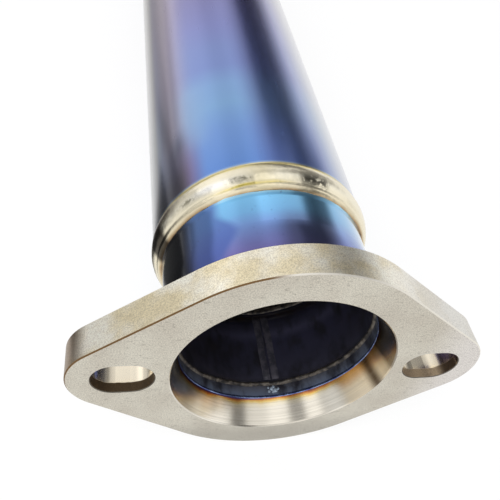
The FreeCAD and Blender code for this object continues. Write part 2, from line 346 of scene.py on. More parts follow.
def seam_mesh(name, start, end, inner_radius, half_width):
    """A lengthwise weld on an inner wall: two low ridges with a groove between them. half_width is
    in degrees."""
    section = smooth_line([
        (-1.0, -0.4), (-0.86, 0.15), (-0.6, 1.0), (-0.36, 0.85), (-0.14, 0.1), (0.0, -0.1),
        (0.14, 0.1), (0.36, 0.9), (0.6, 1.0), (0.86, 0.15), (1.0, -0.4),
    ], 3)
    section += [(0.9, -1.6), (-0.9, -1.6)]
    taper = 1.2
    rows = int((end - start) / SEAM_STEP)
    points = []
    for row in range(rows + 1):
        along = start + (end - start) * row / rows
        wander = 0.5 * wobble(0, along, 9, 4) + 0.25 * wobble(0, along, 2.5, 6)
        fade = min(1.0, (along - start) / taper, (end - along) / taper)
        for across, rise in section:
            turn = math.radians(SEAM_TURN + half_width * across + wander)
            lift = SEAM_HEIGHT * rise
            if rise > 0:
                rough = 0.35 * wobble(turn, along, 1.6, 5) + 0.3 * wobble(turn, along, 5, 2)
                lift *= fade * (1 + rough)
            points.append(on_tube(along, inner_radius(along) - lift, turn))
    count = len(section)
    faces = [tuple(range(count)), tuple(range(rows * count, rows * count + count))]
    faces += walls(count, [(row, row + 1) for row in range(rows)])
    return turned_outwards(smooth_mesh(name, points, faces))


def add_spatter(mesh, inner_radius, spots):
    """Adds drops of spatter beside a seam, as (along, degrees off the seam, size)."""
    work = bmesh.new()
    work.from_mesh(mesh)
    for along, degrees, size in spots:
        centre = Vector(on_tube(along, inner_radius(along), math.radians(SEAM_TURN + degrees))) * MM
        drop = bmesh.ops.create_icosphere(work, subdivisions=3, radius=size * MM)["verts"]
        for vertex in drop:
            bump = 1 + 0.35 * noise.noise(vertex.co / (0.6 * MM) + Vector((along, degrees, 0)))
            flat = Vector((vertex.co.x, vertex.co.y * 1.2, vertex.co.z * 0.5))
            vertex.co = centre + flat * bump
        for face in {face for vertex in drop for face in vertex.link_faces}:
            face.smooth = True
    work.to_mesh(mesh)
    work.free()


def neck_seam_mesh():
    mesh = seam_mesh("neck_seam", 18.4, 52.2, neck_inner, 5.6)
    add_spatter(mesh, neck_inner, [
        (13.4, -1.4, 0.85), (14.2, 0.9, 0.7), (13.1, 2.6, 0.5), (14.9, -0.4, 0.5), (12.6, 0.4, 0.4),
        (13.9, -3.2, 0.45), (14.7, 2.9, 0.4), (13.0, -0.2, 0.6),
    ])
    return mesh


def shell_seam_mesh():
    start, end = SHELL_SEAM_START, END - SHELL_SEAM_START
    return seam_mesh("shell_seam", start, end, lambda along: SHELL_INNER, 3.6)


def add_piece(name, mesh, material, node):
    """A detailed piece that stands for a CAD node and belongs to the one rigid body."""
    piece = put_in_scene(name, mesh)
    mesh.materials.clear()
    mesh.materials.append(material)
    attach(piece, "root")
    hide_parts(node)
    return piece


def add_welds(materials):
    kinds = {
        "shell_weld": (shell_weld_mesh, "gold_weld", "gold_weld"),
        "root_bead": (root_bead_mesh, "grey_weld", "root_weld"),
        "bore_weld": (bore_weld_mesh, "grey_weld", "seal_weld"),
        "flange_weld": (flange_weld_mesh, "grey_weld", "rippled_weld"),
        "shell_root": (shell_root_mesh, "grey_weld", "root_weld"),
        "cone_weld": (cone_weld_mesh, "grey_weld", "rippled_weld"),
        "neck_seam": (neck_seam_mesh, "grey_weld", "seam_weld"),
    }
    for kind, (make, slot_name, look) in kinds.items():
        mesh = make()
        for end in ENDS:
            node = end + "_" + kind
            copy = mesh if end == "inlet" else at_outlet(mesh, node)
            add_piece(node + "_bead", copy, materials[look], node)
    singles = {
        "core_weld": (core_weld_mesh, "grey_weld", "rippled_weld"),
        "shell_seam": (shell_seam_mesh, "grey_weld", "seam_weld"),
    }
    for node, (make, slot_name, look) in singles.items():
        add_piece(node + "_bead", make(), materials[look], node)


# Fill

def fibre_mesh(node):
    """A wad of fibre: the CAD solid's shape, softened, with its surface pressed in unevenly."""
    block = put_in_scene(node + "_block", NODES[node].data.copy())
    remesh = block.modifiers.new("remesh", "REMESH")
    remesh.mode = "VOXEL"
    remesh.voxel_size = FIBRE_VOXEL * MM
    shaped = block.evaluated_get(bpy.context.evaluated_depsgraph_get())
    mesh = bpy.data.meshes.new_from_object(shaped)
    bpy.data.objects.remove(block)
    normals = [vertex.normal.copy() for vertex in mesh.vertices]
    for vertex, normal in zip(mesh.vertices, normals):
        place = vertex.co / MM
        lumps = noise.noise(place / 6.0) + 0.6 * noise.noise(place / 2.2)
        strands = noise.noise(Vector((place.x / 1.2, place.y / 5, place.z / 1.2)))
        vertex.co -= normal * FIBRE_DEPTH * MM * (0.55 + 0.35 * lumps + 0.3 * strands)
    mesh.shade_smooth()
    return mesh


def wool_mesh():
    """The steel wool blanket on the core, with a matted surface."""
    low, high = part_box("wool_wrap")
    gap, rim, set_in = 0.02, 0.3, 0.1
    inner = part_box("core_tube")[1][0] / MM + gap
    outer = high[0] / MM
    start, end = low[1] / MM, high[1] / MM
    rows = 150
    shown = [(start, inner + rim)]
    shown += [(start + (end - start) * row / rows, outer) for row in range(rows + 1)]
    shown.append((end, inner + rim))
    hidden = [(end - set_in, inner), (start + set_in, inner)]

    def shift(along, radius, turn, part):
        if radius < outer:
            return 0.0, 0.0
        press = 0.5 + 0.5 * wobble(turn, along, 5, 2, 32) + 0.4 * wobble(turn, along, 1.8, 4, 32)
        return 0.0, -0.4 * max(0.0, press)

    return ring_mesh("wool_wrap", shown, hidden, 260, shift)


def add_fill(materials):
    fibre = materials["glass_fibre"]
    for node in ("packing_front", "packing_rear"):
        packing = add_piece(node + "_wad", fibre_mesh(node), fibre, node)
    wool = add_piece("wool_wrap_mat", wool_mesh(), materials["steel_wool"], "wool_wrap")


# Materials

def linear(colour):
    """A colour given as sRGB hex, such as "7090c8", as linear numbers."""
    values = [int(colour[i:i + 2], 16) / 255 for i in (0, 2, 4)]
    return tuple(v / 12.92 if v <= 0.04045 else ((v + 0.055) / 1.055) ** 2.4 for v in values)


def grey(level):
    return (level, level, level)


class Graph:
    """Short ways to put nodes into a node tree and join them."""

    def __init__(self, tree):
        self.nodes = tree.nodes
        self.links = tree.links

    def put(self, socket, value):
        if isinstance(value, (int, float)):
            socket.default_value = value
        elif isinstance(value, str):
            socket.default_value = (*linear(value), 1)
        elif isinstance(value, tuple):
            socket.default_value = (*value, 1)
        else:
            self.links.new(value, socket)

    def math(self, operation, first, second=0.0, third=0.0):
        node = self.nodes.new("ShaderNodeMath")
        node.operation = operation
        for socket, value in zip(node.inputs, (first, second, third)):
            self.put(socket, value)
        return node.outputs[0]

    def product(self, *values):
        result = values[0]
        for value in values[1:]:
            result = self.math("MULTIPLY", result, value)
        return result

    def span(self, value, low, high, to_low=0.0, to_high=1.0, smooth=True):
        """value from low to high becomes to_low to to_high, and stays there outside."""
        node = self.nodes.new("ShaderNodeMapRange")
        node.interpolation_type = "SMOOTHSTEP" if smooth else "LINEAR"
        for key, number in (("Value", value), ("From Min", low), ("From Max", high),
                            ("To Min", to_low), ("To Max", to_high)):
            self.put(node.inputs[key], number)
        return node.outputs[0]

    def hump(self, value, centre, half_width):
        """1 at the centre, falling smoothly to 0 at half_width on either side."""
        away = self.math("ABSOLUTE", self.math("SUBTRACT", value, centre))
        return self.span(away, 0.0, half_width, 1.0, 0.0)

    def between(self, value, low, high, soft):
        """1 from low to high, falling to 0 over soft on either side."""
        rise = self.span(value, low - soft, low)
        return self.product(rise, self.span(value, high, high + soft, 1.0, 0.0))

    def shaken(self, value, waves, size):
        """value moved down and up, by size in all, as waves go from 0 to 1."""
        return self.math("ADD", value, self.math("MULTIPLY_ADD", waves, size, -size / 2))

    def split(self, vector):
        node = self.nodes.new("ShaderNodeSeparateXYZ")
        self.links.new(vector, node.inputs[0])
        return node.outputs

    def ramp(self, value, stops):
        node = self.nodes.new("ShaderNodeValToRGB")
        band = node.color_ramp
        while len(band.elements) < len(stops):
            band.elements.new(1.0)
        for element, (place, colour) in zip(band.elements, stops):
            element.position = place
            element.color = (*(linear(colour) if isinstance(colour, str) else colour), 1)
        self.put(node.inputs[0], value)
        return node.outputs[0]

    def mix(self, amount, first, second, blend="MIX"):
        node = self.nodes.new("ShaderNodeMix")
        node.data_type = "RGBA"
        node.blend_type = blend
        for index, value in ((0, amount), (6, first), (7, second)):
            self.put(node.inputs[index], value)
        return node.outputs[2]

    def tinted(self, base, colour, *amounts):
        """base with a colour over it, as strong as the amounts' product says."""
        return self.mix(self.product(*amounts), base, colour)


class Paint(Graph):
    """A material built node by node on a Principled shader."""

    def __init__(self, name, metallic=1.0, roughness=0.3):
        self.material = bpy.data.materials.new(name)
        self.material.use_nodes = True
        super().__init__(self.material.node_tree)
        self.shader = self.nodes["Principled BSDF"]
        self.shader.inputs["Metallic"].default_value = metallic
        self.shader.inputs["Roughness"].default_value = roughness
        self.place = self.nodes.new("ShaderNodeTexCoord").outputs["Object"]
        self.x, self.y, self.z = self.split(self.place)

    def stretched(self, x, y, z):
        node = self.nodes.new("ShaderNodeMapping")
        node.inputs["Scale"].default_value = (x, y, z)
        self.put(node.inputs["Vector"], self.place)
        return node.outputs[0]

    def noise(self, scale, detail, vector=None, distortion=0.0):
        """Clouds from 0 to 1, with about scale of them to the metre."""
        node = self.nodes.new("ShaderNodeTexNoise")
        node.inputs["Scale"].default_value = scale
        node.inputs["Detail"].default_value = detail
        node.inputs["Roughness"].default_value = 0.55
        node.inputs["Distortion"].default_value = distortion
        self.put(node.inputs["Vector"], vector or self.place)
        return node.outputs["Fac"]

    def bump(self, height, distance, strength):
        """Small relief, where distance is in millimetres."""
        node = self.nodes.new("ShaderNodeBump")
        node.inputs["Strength"].default_value = strength
        node.inputs["Distance"].default_value = distance * MM
        self.put(node.inputs["Height"], height)
        return node.outputs[0]

    def finish(self, colour, normal, roughness=None, metallic=None):
        self.put(self.shader.inputs["Base Color"], colour)
        self.put(self.shader.inputs["Normal"], normal)
        for key, value in (("Roughness", roughness), ("Metallic", metallic)):
            if value is not None:
                self.put(self.shader.inputs[key], value)
        return self.material

    def coat(self, ior, roughness):
        """The clear oxide over the metal, which pales it where it is seen at a low angle."""
        self.shader.inputs["Coat Weight"].default_value = 1.0
        self.shader.inputs["Coat IOR"].default_value = ior
        self.shader.inputs["Coat Roughness"].default_value = roughness

    # Places on the tube, in millimetres and degrees

    def across(self):
        """How far to the right of the axis a place is, as the photo shows it."""
        return self.product(self.x, 1 / MM)

    def up(self):
        """How far above the axis a place is."""
        return self.product(self.z, 1 / MM)

    def distance(self, first, second):
        """The distance in millimetres over two legs at right angles, which are in metres."""
        squares = self.math("ADD", self.product(first, first), self.product(second, second))
        return self.product(self.math("SQRT", squares), 1 / MM)

    def radius(self):
        return self.distance(self.x, self.z)

    def turn(self):
        """The angle round the tube: 0 on top, 90 at +X, 180 below, -90 at -X."""
        return self.product(self.math("ARCTAN2", self.x, self.z), 180 / math.pi)

    def from_end(self):
        """How far a place is from the nearer flange's face."""
        middle = END * MM / 2
        far = self.math("ABSOLUTE", self.math("SUBTRACT", self.y, middle))
        return self.product(self.math("SUBTRACT", middle, far), 1 / MM)

    def from_slot(self):
        """How far a place is from the middle line of the nearer bolt slot."""
        off_axis = self.math("ABSOLUTE", self.x)
        off_centre = self.math("ABSOLUTE", self.math("SUBTRACT", off_axis, BOLT_PLACE * MM))
        past_reach = self.math("SUBTRACT", off_centre, SLOT_REACH * MM)
        return self.distance(self.math("MAXIMUM", past_reach, 0.0), self.z)

    def normal(self):
        return self.nodes.new("ShaderNodeNewGeometry").outputs["Normal"]

    def faces_in(self):
        """1 on surfaces that face the tube's axis, 0 on those that face away."""
        dot = self.nodes.new("ShaderNodeVectorMath")
        dot.operation = "DOT_PRODUCT"
        spoke = self.nodes.new("ShaderNodeCombineXYZ")
        self.put(spoke.inputs[0], self.x)
        self.put(spoke.inputs[2], self.z)
        self.links.new(self.normal(), dot.inputs[0])
        self.links.new(spoke.outputs[0], dot.inputs[1])
        return self.math("LESS_THAN", dot.outputs["Value"], 0.0)


def burnt_shell():
    """Heat tint that goes from blue by the welds to violet, in soft clouds, with streaks of other
    colours along the tube that are painted reflections."""
    paint = Paint("burnt_shell")
    along, turn = paint.from_end(), paint.turn()
    clouds = paint.noise(13.0, 3.0, paint.stretched(1.0, 0.4, 1.0))
    shifted = paint.shaken(along, clouds, 44.0)
    base = paint.ramp(paint.span(shifted, 59.0, 260.0, smooth=False), [
        (0.0, "4c80cc"), (0.1, "5e8ccf"), (0.2, "6e9ed0"), (0.28, "6e9ad0"), (0.36, "6680c4"),
        (0.45, "657cc0"), (0.56, "646eb8"), (0.72, "58529e"), (1.0, "5a4e96"),
    ])
    # Painted reflections: indigo right of the top, then mauve, slate and pale blue on the left
    base = paint.tinted(base, "4a50a6", paint.between(turn, 2.0, 26.0, 16.0), 0.5)
    base = paint.tinted(base, "a08c9e", paint.hump(turn, -56.0, 22.0),
                        paint.span(along, 66.0, 96.0, 0.45, 0.8))
    base = paint.tinted(base, "36486c", paint.hump(turn, -50.0, 10.0),
                        paint.hump(along, 85.0, 15.0), 0.75)
    base = paint.tinted(base, "7ca0cc", paint.hump(turn, -38.0, 12.0),
                        paint.between(along, 86.0, 112.0, 12.0), 0.5)
    # Painted reflections on the sides, brownish on the left and silver on the right
    base = paint.tinted(base, "8c8476", paint.between(turn, -92.0, -74.0, 10.0), 0.8)
    base = paint.tinted(base, "bcbcc0", paint.between(turn, 46.0, 60.0, 24.0), 0.75)
    # Painted dark reflections on the left by the weld, magenta and near black
    base = paint.tinted(base, "704680", paint.hump(turn, -47.0, 14.0),
                        paint.span(shifted, 62.0, 95.0, 0.75, 0.0))
    base = paint.tinted(base, "2c202e", paint.between(turn, -66.0, -51.0, 10.0),
                        paint.span(along, 62.0, 94.0, 0.85, 0.0))
    # Pale blue and straw lines at the weld's edge
    base = paint.tinted(base, "9cb8d4", paint.span(along, 60.4, 61.4, 0.5, 0.0))
    base = paint.tinted(base, "cfc494", paint.span(along, 59.8, 60.5, 1.0, 0.0))
    base = paint.tinted(base, "5c5c62", paint.faces_in())
    grain = paint.noise(700.0, 2.0, paint.stretched(1.0, 0.1, 1.0))
    rough = paint.math("MULTIPLY_ADD", grain, 0.1, 0.2)
    paint.coat(1.55, 0.18)
    return paint.finish(base, paint.bump(paint.noise(2600.0, 1.0), 0.02, 0.2), rough)


def sooty_wall(paint, along):
    """The neck's inner wall: bluish by the seal weld, then dark, with a slightly paler ring far in."""
    soot_and_shade = paint.noise(160.0, 4.0, paint.stretched(1.0, 0.5, 1.0))
    uneven = paint.math("ADD", along, paint.product(soot_and_shade, 3.0))
    wall = paint.ramp(paint.span(uneven, 10.0, 56.0, smooth=False), [
        (0.0, "5a6c98"), (0.06, "6c7890"), (0.13, "5c606c"), (0.2, "32323c"), (0.24, "3a3a4a"),
        (0.62, "34344a"), (0.7, "484860"), (0.78, "343448"), (1.0, "2a2a3c"),
    ])
    return paint.tinted(wall, "26262e", paint.span(soot_and_shade, 0.4, 0.7))


def burnt_neck():
    """Heat tint that goes from violet by the flange to cyan by the shell's weld, with a sooty inner
    wall. The deep blue and nearly black left side and a darker band right of the top are painted
    reflections."""
    paint = Paint("burnt_neck")
    along, turn = paint.from_end(), paint.turn()
    shifted = paint.shaken(along, paint.noise(24.0, 3.0), 9.0)
    base = paint.ramp(paint.span(shifted, 14.0, 46.0, smooth=False), [
        (0.0, "584858"), (0.12, "504478"), (0.3, "6a66a8"), (0.44, "6a76b6"), (0.6, "6a8ecc"),
        (0.78, "6cacde"), (1.0, "72bae8"),
    ])
    base = paint.tinted(base, "a8dcf4", paint.span(along, 46.8, 47.8, 0.0, 0.7))
    # Painted reflection: deep blue on the left, whose edge bows towards the top half way along
    bowed = paint.math("ADD", turn, paint.product(paint.hump(along, 33.0, 10.0), -9.0))
    base = paint.tinted(base, "3454a4", paint.between(bowed, -110.0, -38.0, 7.0), 0.78)
    # Painted dark reflection: the nearly black left side
    base = paint.tinted(base, "0d0c13", paint.between(turn, -96.0, -60.0, 14.0), 0.95)
    # Painted dark reflection: a darker band right of the top, stronger towards the flange
    base = paint.tinted(base, "40446e", paint.between(turn, 2.0, 20.0, 10.0),
                        paint.span(along, 42.0, 30.0, 0.0, 0.7))
    base = paint.tinted(base, "34487c", paint.span(paint.noise(520.0, 2.0), 0.68, 0.74), 0.4)
    inside = paint.faces_in()
    base = paint.mix(inside, base, sooty_wall(paint, along))
    rough = paint.mix(inside, grey(0.16), grey(0.45))
    metallic = paint.math("MULTIPLY_ADD", inside, -0.55, 1.0)
    paint.coat(1.5, 0.12)
    return paint.finish(base, paint.bump(paint.noise(2200.0, 1.0), 0.02, 0.2), rough, metallic)


def flange_face(paint, across):
    """Ground steel with scratches and nicks, with painted shade low down and a painted highlight on
    the right ear.
    """
    face = paint.mix(paint.span(paint.noise(55.0, 4.0), 0.3, 0.7), "d0c9bb", "ddd8ca")
    # Painted shade low down, and a painted highlight on the right ear
    face = paint.tinted(face, "a8a49a", paint.span(paint.up(), -28.0, -46.0, 0.0, 0.55))
    face = paint.tinted(face, "ebe6e2", paint.span(across, 44.0, 66.0, 0.0, 0.8))
    scratches = paint.noise(420.0, 3.0, paint.stretched(0.5, 1.0, 1.6), distortion=1.2)
    face = paint.tinted(face, "8a8478", paint.span(scratches, 0.38, 0.3, 0.0, 0.3))
    nicks = paint.noise(1000.0, 2.0, paint.stretched(0.45, 1.0, 1.3))
    return paint.tinted(face, "7c766a", paint.span(nicks, 0.4, 0.3, 0.0, 0.4))


def flange_side(paint, across, brushed):
    """The plate's edge, brushed and stained gold, greyer on the right, with painted shade in brown at
    the left end.
    """
    side = paint.mix(paint.span(paint.noise(60.0, 4.0), 0.38, 0.62), "ecdfbe", "fdf8ea")
    side = paint.tinted(side, "b09c78", paint.span(brushed, 0.3, 0.5, 0.16, 0.0))
    side = paint.tinted(side, "d6d4d0", paint.span(across, 20.0, 45.0, 0.0, 0.7))
    # Painted shade in brown at the left end
    return paint.tinted(side, "806448", paint.span(across, -63.0, -70.0, 0.0, 0.85))


def flange_edges(paint, base, lying, radius, from_slot):
    """A painted highlight along the chamfer round the plate, brown on the upper left, and dark edges
    on the holes.
    """
    slot_edge = paint.span(from_slot, SLOT_RADIUS + 1.4, SLOT_RADIUS + 1.1)
    hole_edge = paint.math("MAXIMUM", slot_edge, paint.span(radius, 40.3, 40.0))
    outside = paint.math("SUBTRACT", 1.0, hole_edge)
    chamfer = paint.product(paint.between(lying, 0.5, 0.85, 0.1), outside)
    # A painted highlight on the chamfer
    base = paint.tinted(base, "f4efe4", chamfer)
    base = paint.tinted(base, "4c463c", paint.between(lying, 0.6, 0.95, 0.03), hole_edge, 0.85)
    return paint.tinted(base, "7c6040", chamfer, paint.between(paint.turn(), -110.0, -16.0, 10.0))


def slot_painted_shade(paint, in_slot):
    """Where shade is painted in the slots: on the lower walls, in a ragged band by the face."""
    ragged = paint.math("ADD", paint.from_end(), paint.product(paint.noise(260.0, 2.0), 0.9))
    return paint.product(in_slot, paint.span(ragged, 4.2, 3.9), paint.span(paint.up(), 1.0, -1.0))


def slot_wall(paint, base, in_slot, painted_shade, across, grit):
    """Bright walls and brown painted shade, lighter in the right slot, with the right slot's outer end
    darker as painted shade too.
    """
    # Painted shade: the right slot's outer end darker, and brown on the lower walls by the face
    far_end = paint.span(across, 59.0, 62.0)
    base = paint.mix(in_slot, base, paint.mix(far_end, "fff4de", "9c8e7c"))
    soot_and_shade = paint.mix(paint.span(across, -10.0, 10.0), "5c4e3e", "c6b49c")
    soot_and_shade = paint.tinted(soot_and_shade, "5c4e40", far_end)
    soot_and_shade = paint.tinted(soot_and_shade, "2c241c", paint.span(grit, 0.35, 0.65, 0.25, 0.0))
    return paint.mix(painted_shade, base, soot_and_shade)


def bore_wall(paint, across, turning):
    """The bore's taper: turned steel with straw to purple heat tint by the seal weld, and bright,
    golden and dark bands that are painted reflections."""
    along = paint.from_end()
    patchy = paint.noise(75.0, 3.0, paint.stretched(1.0, 0.2, 1.0))
    edge = paint.math("ADD", along, paint.math("MULTIPLY_ADD", patchy, 4.6, -2.5))
    wall = paint.ramp(paint.span(edge, 6.0, 10.0, smooth=False), [
        (0.0, "e2dccf"), (0.4, "e6dcc2"), (0.62, "e8c878"), (0.78, "d89038"), (0.9, "9c5430"),
        (1.0, "7a3c34"),
    ])
    wall = paint.tinted(wall, "46368c", paint.span(along, 9.3, 9.7), paint.span(across, 8.0, -12.0))
    # The angle from the top by way of the right side, from 0 to 360
    full_turn = paint.math("MODULO", paint.math("ADD", paint.turn(), 360.0), 360.0)
    # Painted reflections: a golden band, bright bands and dark bands at fixed angles round the bore
    painted_golden_reflection = paint.between(full_turn, 92.0, 128.0, 10.0)
    painted_bright_reflection = paint.math("ADD", paint.hump(full_turn, 137.0, 11.0), paint.hump(full_turn, 214.0, 18.0))
    wide_painted_dark_reflection = paint.product(paint.between(full_turn, 60.0, 88.0, 6.0), 0.7)
    painted_dark_reflection = paint.math("ADD", paint.hump(full_turn, 106.0, 8.0), wide_painted_dark_reflection)
    wall = paint.tinted(wall, "dcc08a", painted_golden_reflection, 0.4)
    wall = paint.tinted(wall, "d09440", painted_golden_reflection, paint.span(edge, 3.5, 8.0), 0.65)
    wall = paint.tinted(wall, "fffaee", painted_bright_reflection, paint.span(edge, 9.0, 6.0))
    wall = paint.tinted(wall, "46341f", painted_dark_reflection, 0.95)
    return paint.tinted(wall, "a2988a", paint.span(turning, 0.35, 0.65, 0.22, 0.0))


def flange_steel():
    """The plate's faces, edge, chamfers, slots and bore, told apart by place and by how far the
    surface lies flat on the flange's plane."""
    paint = Paint("flange_steel")
    across, radius, from_slot = paint.across(), paint.radius(), paint.from_slot()
    lying = paint.math("ABSOLUTE", paint.split(paint.normal())[1])
    on_side = paint.span(lying, 0.3, 0.2)
    in_slot = paint.product(paint.span(from_slot, SLOT_RADIUS + 0.4, SLOT_RADIUS + 0.1), on_side)
    in_bore = paint.product(paint.span(radius, 39.2, 38.9), paint.span(lying, 0.85, 0.75))
    grit = paint.noise(2300.0, 2.0)
    brushed = paint.noise(700.0, 3.0, paint.stretched(0.25, 1.0, 0.6))
    turning = paint.noise(260.0, 3.0, paint.stretched(0.05, 11.0, 0.05))
    base = paint.mix(on_side, flange_face(paint, across), flange_side(paint, across, brushed))
    grain = paint.mix(paint.span(grit, 0.3, 0.7), grey(0.76), grey(1.12))
    base = paint.mix(1.0, base, grain, "MULTIPLY")
    base = flange_edges(paint, base, lying, radius, from_slot)
    # Painted shade in the slots
    painted_shade = slot_painted_shade(paint, in_slot)
    base = slot_wall(paint, base, in_slot, painted_shade, across, grit)
    base = paint.mix(in_bore, base, bore_wall(paint, across, turning))
    satin = paint.mix(on_side, grey(0.42), grey(0.33))
    rough = paint.mix(paint.math("MAXIMUM", in_slot, in_bore), satin, grey(0.2))
    rough = paint.mix(painted_shade, rough, grey(0.55))
    height = paint.mix(in_bore, paint.mix(on_side, grit, brushed), turning)
    return paint.finish(base, paint.bump(height, 0.03, 0.25), rough)


def gold_weld():
    """Pale gold, darker at its two edges, with smoke marks, a painted highlight, a painted dark
    reflection and painted shade on top, and painted shade at the left.
    """
    paint = Paint("gold_weld", roughness=0.26)
    along, turn = paint.from_end(), paint.turn()
    place = paint.shaken(along, paint.noise(130.0, 3.0), 1.0)
    base = paint.ramp(paint.span(place, 47.6, 60.0, smooth=False), [
        (0.0, "6a4c40"), (0.05, "c0a884"), (0.1, "e8dcbe"), (0.22, "f2e8cc"), (0.45, "f6efda"),
        (0.74, "f4ead0"), (0.8, "ece2c0"), (0.86, "e2ce80"), (0.93, "dcc46c"), (1.0, "ccc090"),
    ])
    # A gold line in the groove, and painted shade on the top that dims its reflection
    base = paint.tinted(base, "dcc648", paint.hump(place, 50.6, 1.0), paint.hump(turn, -14.0, 26.0))
    base = paint.tinted(base, "cabf9c", paint.hump(turn, -9.0, 11.0), 0.65)
    # Smoke marks at both ends of a painted highlight, and a painted dark reflection to the right of
    # the top
    ends = paint.math("ADD", paint.hump(turn, -46.0, 12.0), paint.hump(turn, -19.0, 12.0))
    base = paint.tinted(base, "6c684e", paint.span(paint.noise(520.0, 3.0), 0.46, 0.6),
                        paint.hump(along, 53.0, 1.4), ends, 0.75)
    base = paint.tinted(base, "fffdf8", paint.hump(along, 53.2, 2.2), paint.hump(turn, -34.0, 15.0))
    base = paint.tinted(base, "2c2a24", paint.span(paint.noise(420.0, 3.0), 0.37, 0.48),
                        paint.hump(along, 52.4, 3.2), paint.between(turn, 13.0, 23.0, 5.0), 0.9)
    # Painted shade on the left
    base = paint.tinted(base, "221a12", paint.between(turn, -84.0, -72.0, 5.0), 0.93)
    base = paint.tinted(base, "5c4028", paint.between(turn, -76.0, -63.0, 10.0),
                        paint.span(along, 53.6, 57.6), 0.8)
    return paint.finish(base, paint.bump(paint.noise(700.0, 3.0), 0.08, 0.5))


def root_weld():
    paint = Paint("root_weld", metallic=0.55, roughness=0.42)
    base = paint.ramp(paint.noise(420.0, 4.0), [
        (0.0, "1c1c22"), (0.4, "2e2c2c"), (0.52, "544e48"), (0.64, "6c665e"), (1.0, "3c3e48"),
    ])
    return paint.finish(base, paint.bump(paint.noise(1200.0, 3.0), 0.1, 0.6))


def seal_weld():
    paint = Paint("seal_weld", metallic=0.9, roughness=0.22)
    base = paint.mix(paint.span(paint.noise(240.0, 3.0), 0.35, 0.65), "54609a", "8fa4d0")
    return paint.finish(base, paint.bump(paint.noise(1500.0, 2.0), 0.05, 0.4))


def seam_weld():
    """Dark and mottled, with paler ridges and bright spatter near the flange."""
    paint = Paint("seam_weld", metallic=0.4, roughness=0.45)
    base = paint.mix(paint.span(paint.noise(380.0, 4.0), 0.35, 0.65), "3a3a44", "54525c")
    base = paint.tinted(base, "8c8a8c", paint.span(paint.radius(), 36.1, 35.4), 0.15)
    base = paint.tinted(base, "9aa8b8", paint.span(paint.from_end(), 16.0, 15.2))
    return paint.finish(base, paint.bump(paint.noise(1400.0, 3.0), 0.08, 0.5))


def rippled_weld():
    """Violet at the inner edge of a fillet, then straw and pale gold outwards."""
    paint = Paint("rippled_weld", roughness=0.24)
    outwards = paint.math("ADD", paint.radius(), paint.product(paint.noise(90.0, 2.0), 1.6))
    base = paint.ramp(paint.span(outwards, 37.5, 44.0, smooth=False), [
        (0.0, "4c4a9c"), (0.18, "7c4a84"), (0.36, "b88a50"), (0.6, "d8c48c"), (0.85, "cfc4ac"),
        (1.0, "b89a60"),
    ])
    grain = paint.noise(600.0, 3.0)
    base = paint.tinted(base, "6c6258", paint.span(grain, 0.35, 0.65, 0.3, 0.0))
    rough = paint.math("MULTIPLY_ADD", grain, 0.2, 0.14)
    return paint.finish(base, paint.bump(paint.noise(1300.0, 2.0), 0.05, 0.4), rough)


def inner_steel():
    """Drawn steel, straw-coloured where the cone's collar is."""
    paint = Paint("inner_steel", metallic=0.85)
    base = paint.mix(paint.span(paint.noise(70.0, 4.0), 0.3, 0.7), "6a6664", "96928c")
    base = paint.tinted(base, "a88a58", paint.hump(paint.from_end(), 100.0, 16.0), 0.5)
    lines = paint.noise(500.0, 3.0, paint.stretched(1.0, 0.05, 1.0))
    rough = paint.math("MULTIPLY_ADD", lines, 0.25, 0.24)
    return paint.finish(base, paint.bump(lines, 0.03, 0.5), rough)


def steel_wool():
    paint = Paint("steel_wool", metallic=0.8, roughness=0.45)
    strands = paint.noise(900.0, 4.0, paint.stretched(1.0, 3.0, 1.0), distortion=2.5)
    base = paint.ramp(strands, [(0.0, "1e1d1c"), (0.42, "4c4946"), (0.56, "908b82"), (1.0, "d0ccc2")])
    return paint.finish(base, paint.bump(strands, 0.5, 1.0))


def glass_fibre():
    paint = Paint("glass_fibre", metallic=0.0, roughness=0.85)
    strands = paint.noise(520.0, 5.0, paint.stretched(1.0, 2.4, 1.0), distortion=2.0)
    base = paint.ramp(strands, [(0.0, "8f8468"), (0.42, "cdc4a8"), (0.6, "e8e1cc"), (1.0, "f8f4e8")])
    base = paint.tinted(base, "c4b48c", paint.span(paint.noise(60.0, 3.0), 0.4, 0.7, 0.0, 0.35))
    paint.shader.inputs["Sheen Weight"].default_value = 0.4
    return paint.finish(base, paint.bump(strands, 0.8, 0.9))


def make_materials():
    makers = {
        "blued_shell": burnt_shell, "blued_neck": burnt_neck, "flange_steel": flange_steel,
        "gold_weld": gold_weld, "root_weld": root_weld, "seal_weld": seal_weld,
        "seam_weld": seam_weld, "rippled_weld": rippled_weld, "inner_steel": inner_steel,
        "steel_wool": steel_wool, "glass_fibre": glass_fibre,
    }
    materials = {look: make() for look, make in makers.items()}
    materials["grey_weld"] = materials["rippled_weld"]
    return materials


def dress_nodes(materials):
    """Every CAD node gets the material of its slot."""
    slots = {part["node"]: part["material_slot"] for part in frame["record"]["subparts"]}
    for name, piece in NODES.items():
        for index in range(len(piece.material_slots)):
            piece.material_slots[index].material = materials[slots[name]]


# Stage

# The photo's viewpoint in millimetres, its directions to the right and up, and its lens
CAMERA_PLACE = (-51.65, -102.14, 170.71)
CAMERA_RIGHT = (0.9797, -0.13838, 0.14506)
CAMERA_UP = (0.00263, 0.73237, 0.6809)
LENS, SENSOR = 42.89, 36

# The floor's width in metres, and its gap under the flange in millimetres
FLOOR_WIDTH = 12
FLOOR_GAP = 0.4


def add_camera():
    right = Vector(CAMERA_RIGHT).normalized()
    back = right.cross(Vector(CAMERA_UP).normalized()).normalized()
    turn = Matrix((right, back.cross(right), back)).transposed()
    camera = bpy.data.objects.new("camera", bpy.data.cameras.new("camera"))
    bpy.context.collection.objects.link(camera)
    camera.matrix_world = Matrix.Translation(Vector(CAMERA_PLACE) * MM) @ turn.to_4x4()
    camera.data.lens = LENS
    camera.data.sensor_width = SENSOR
    camera.data.clip_start = 0.01
    bpy.context.scene.camera = camera


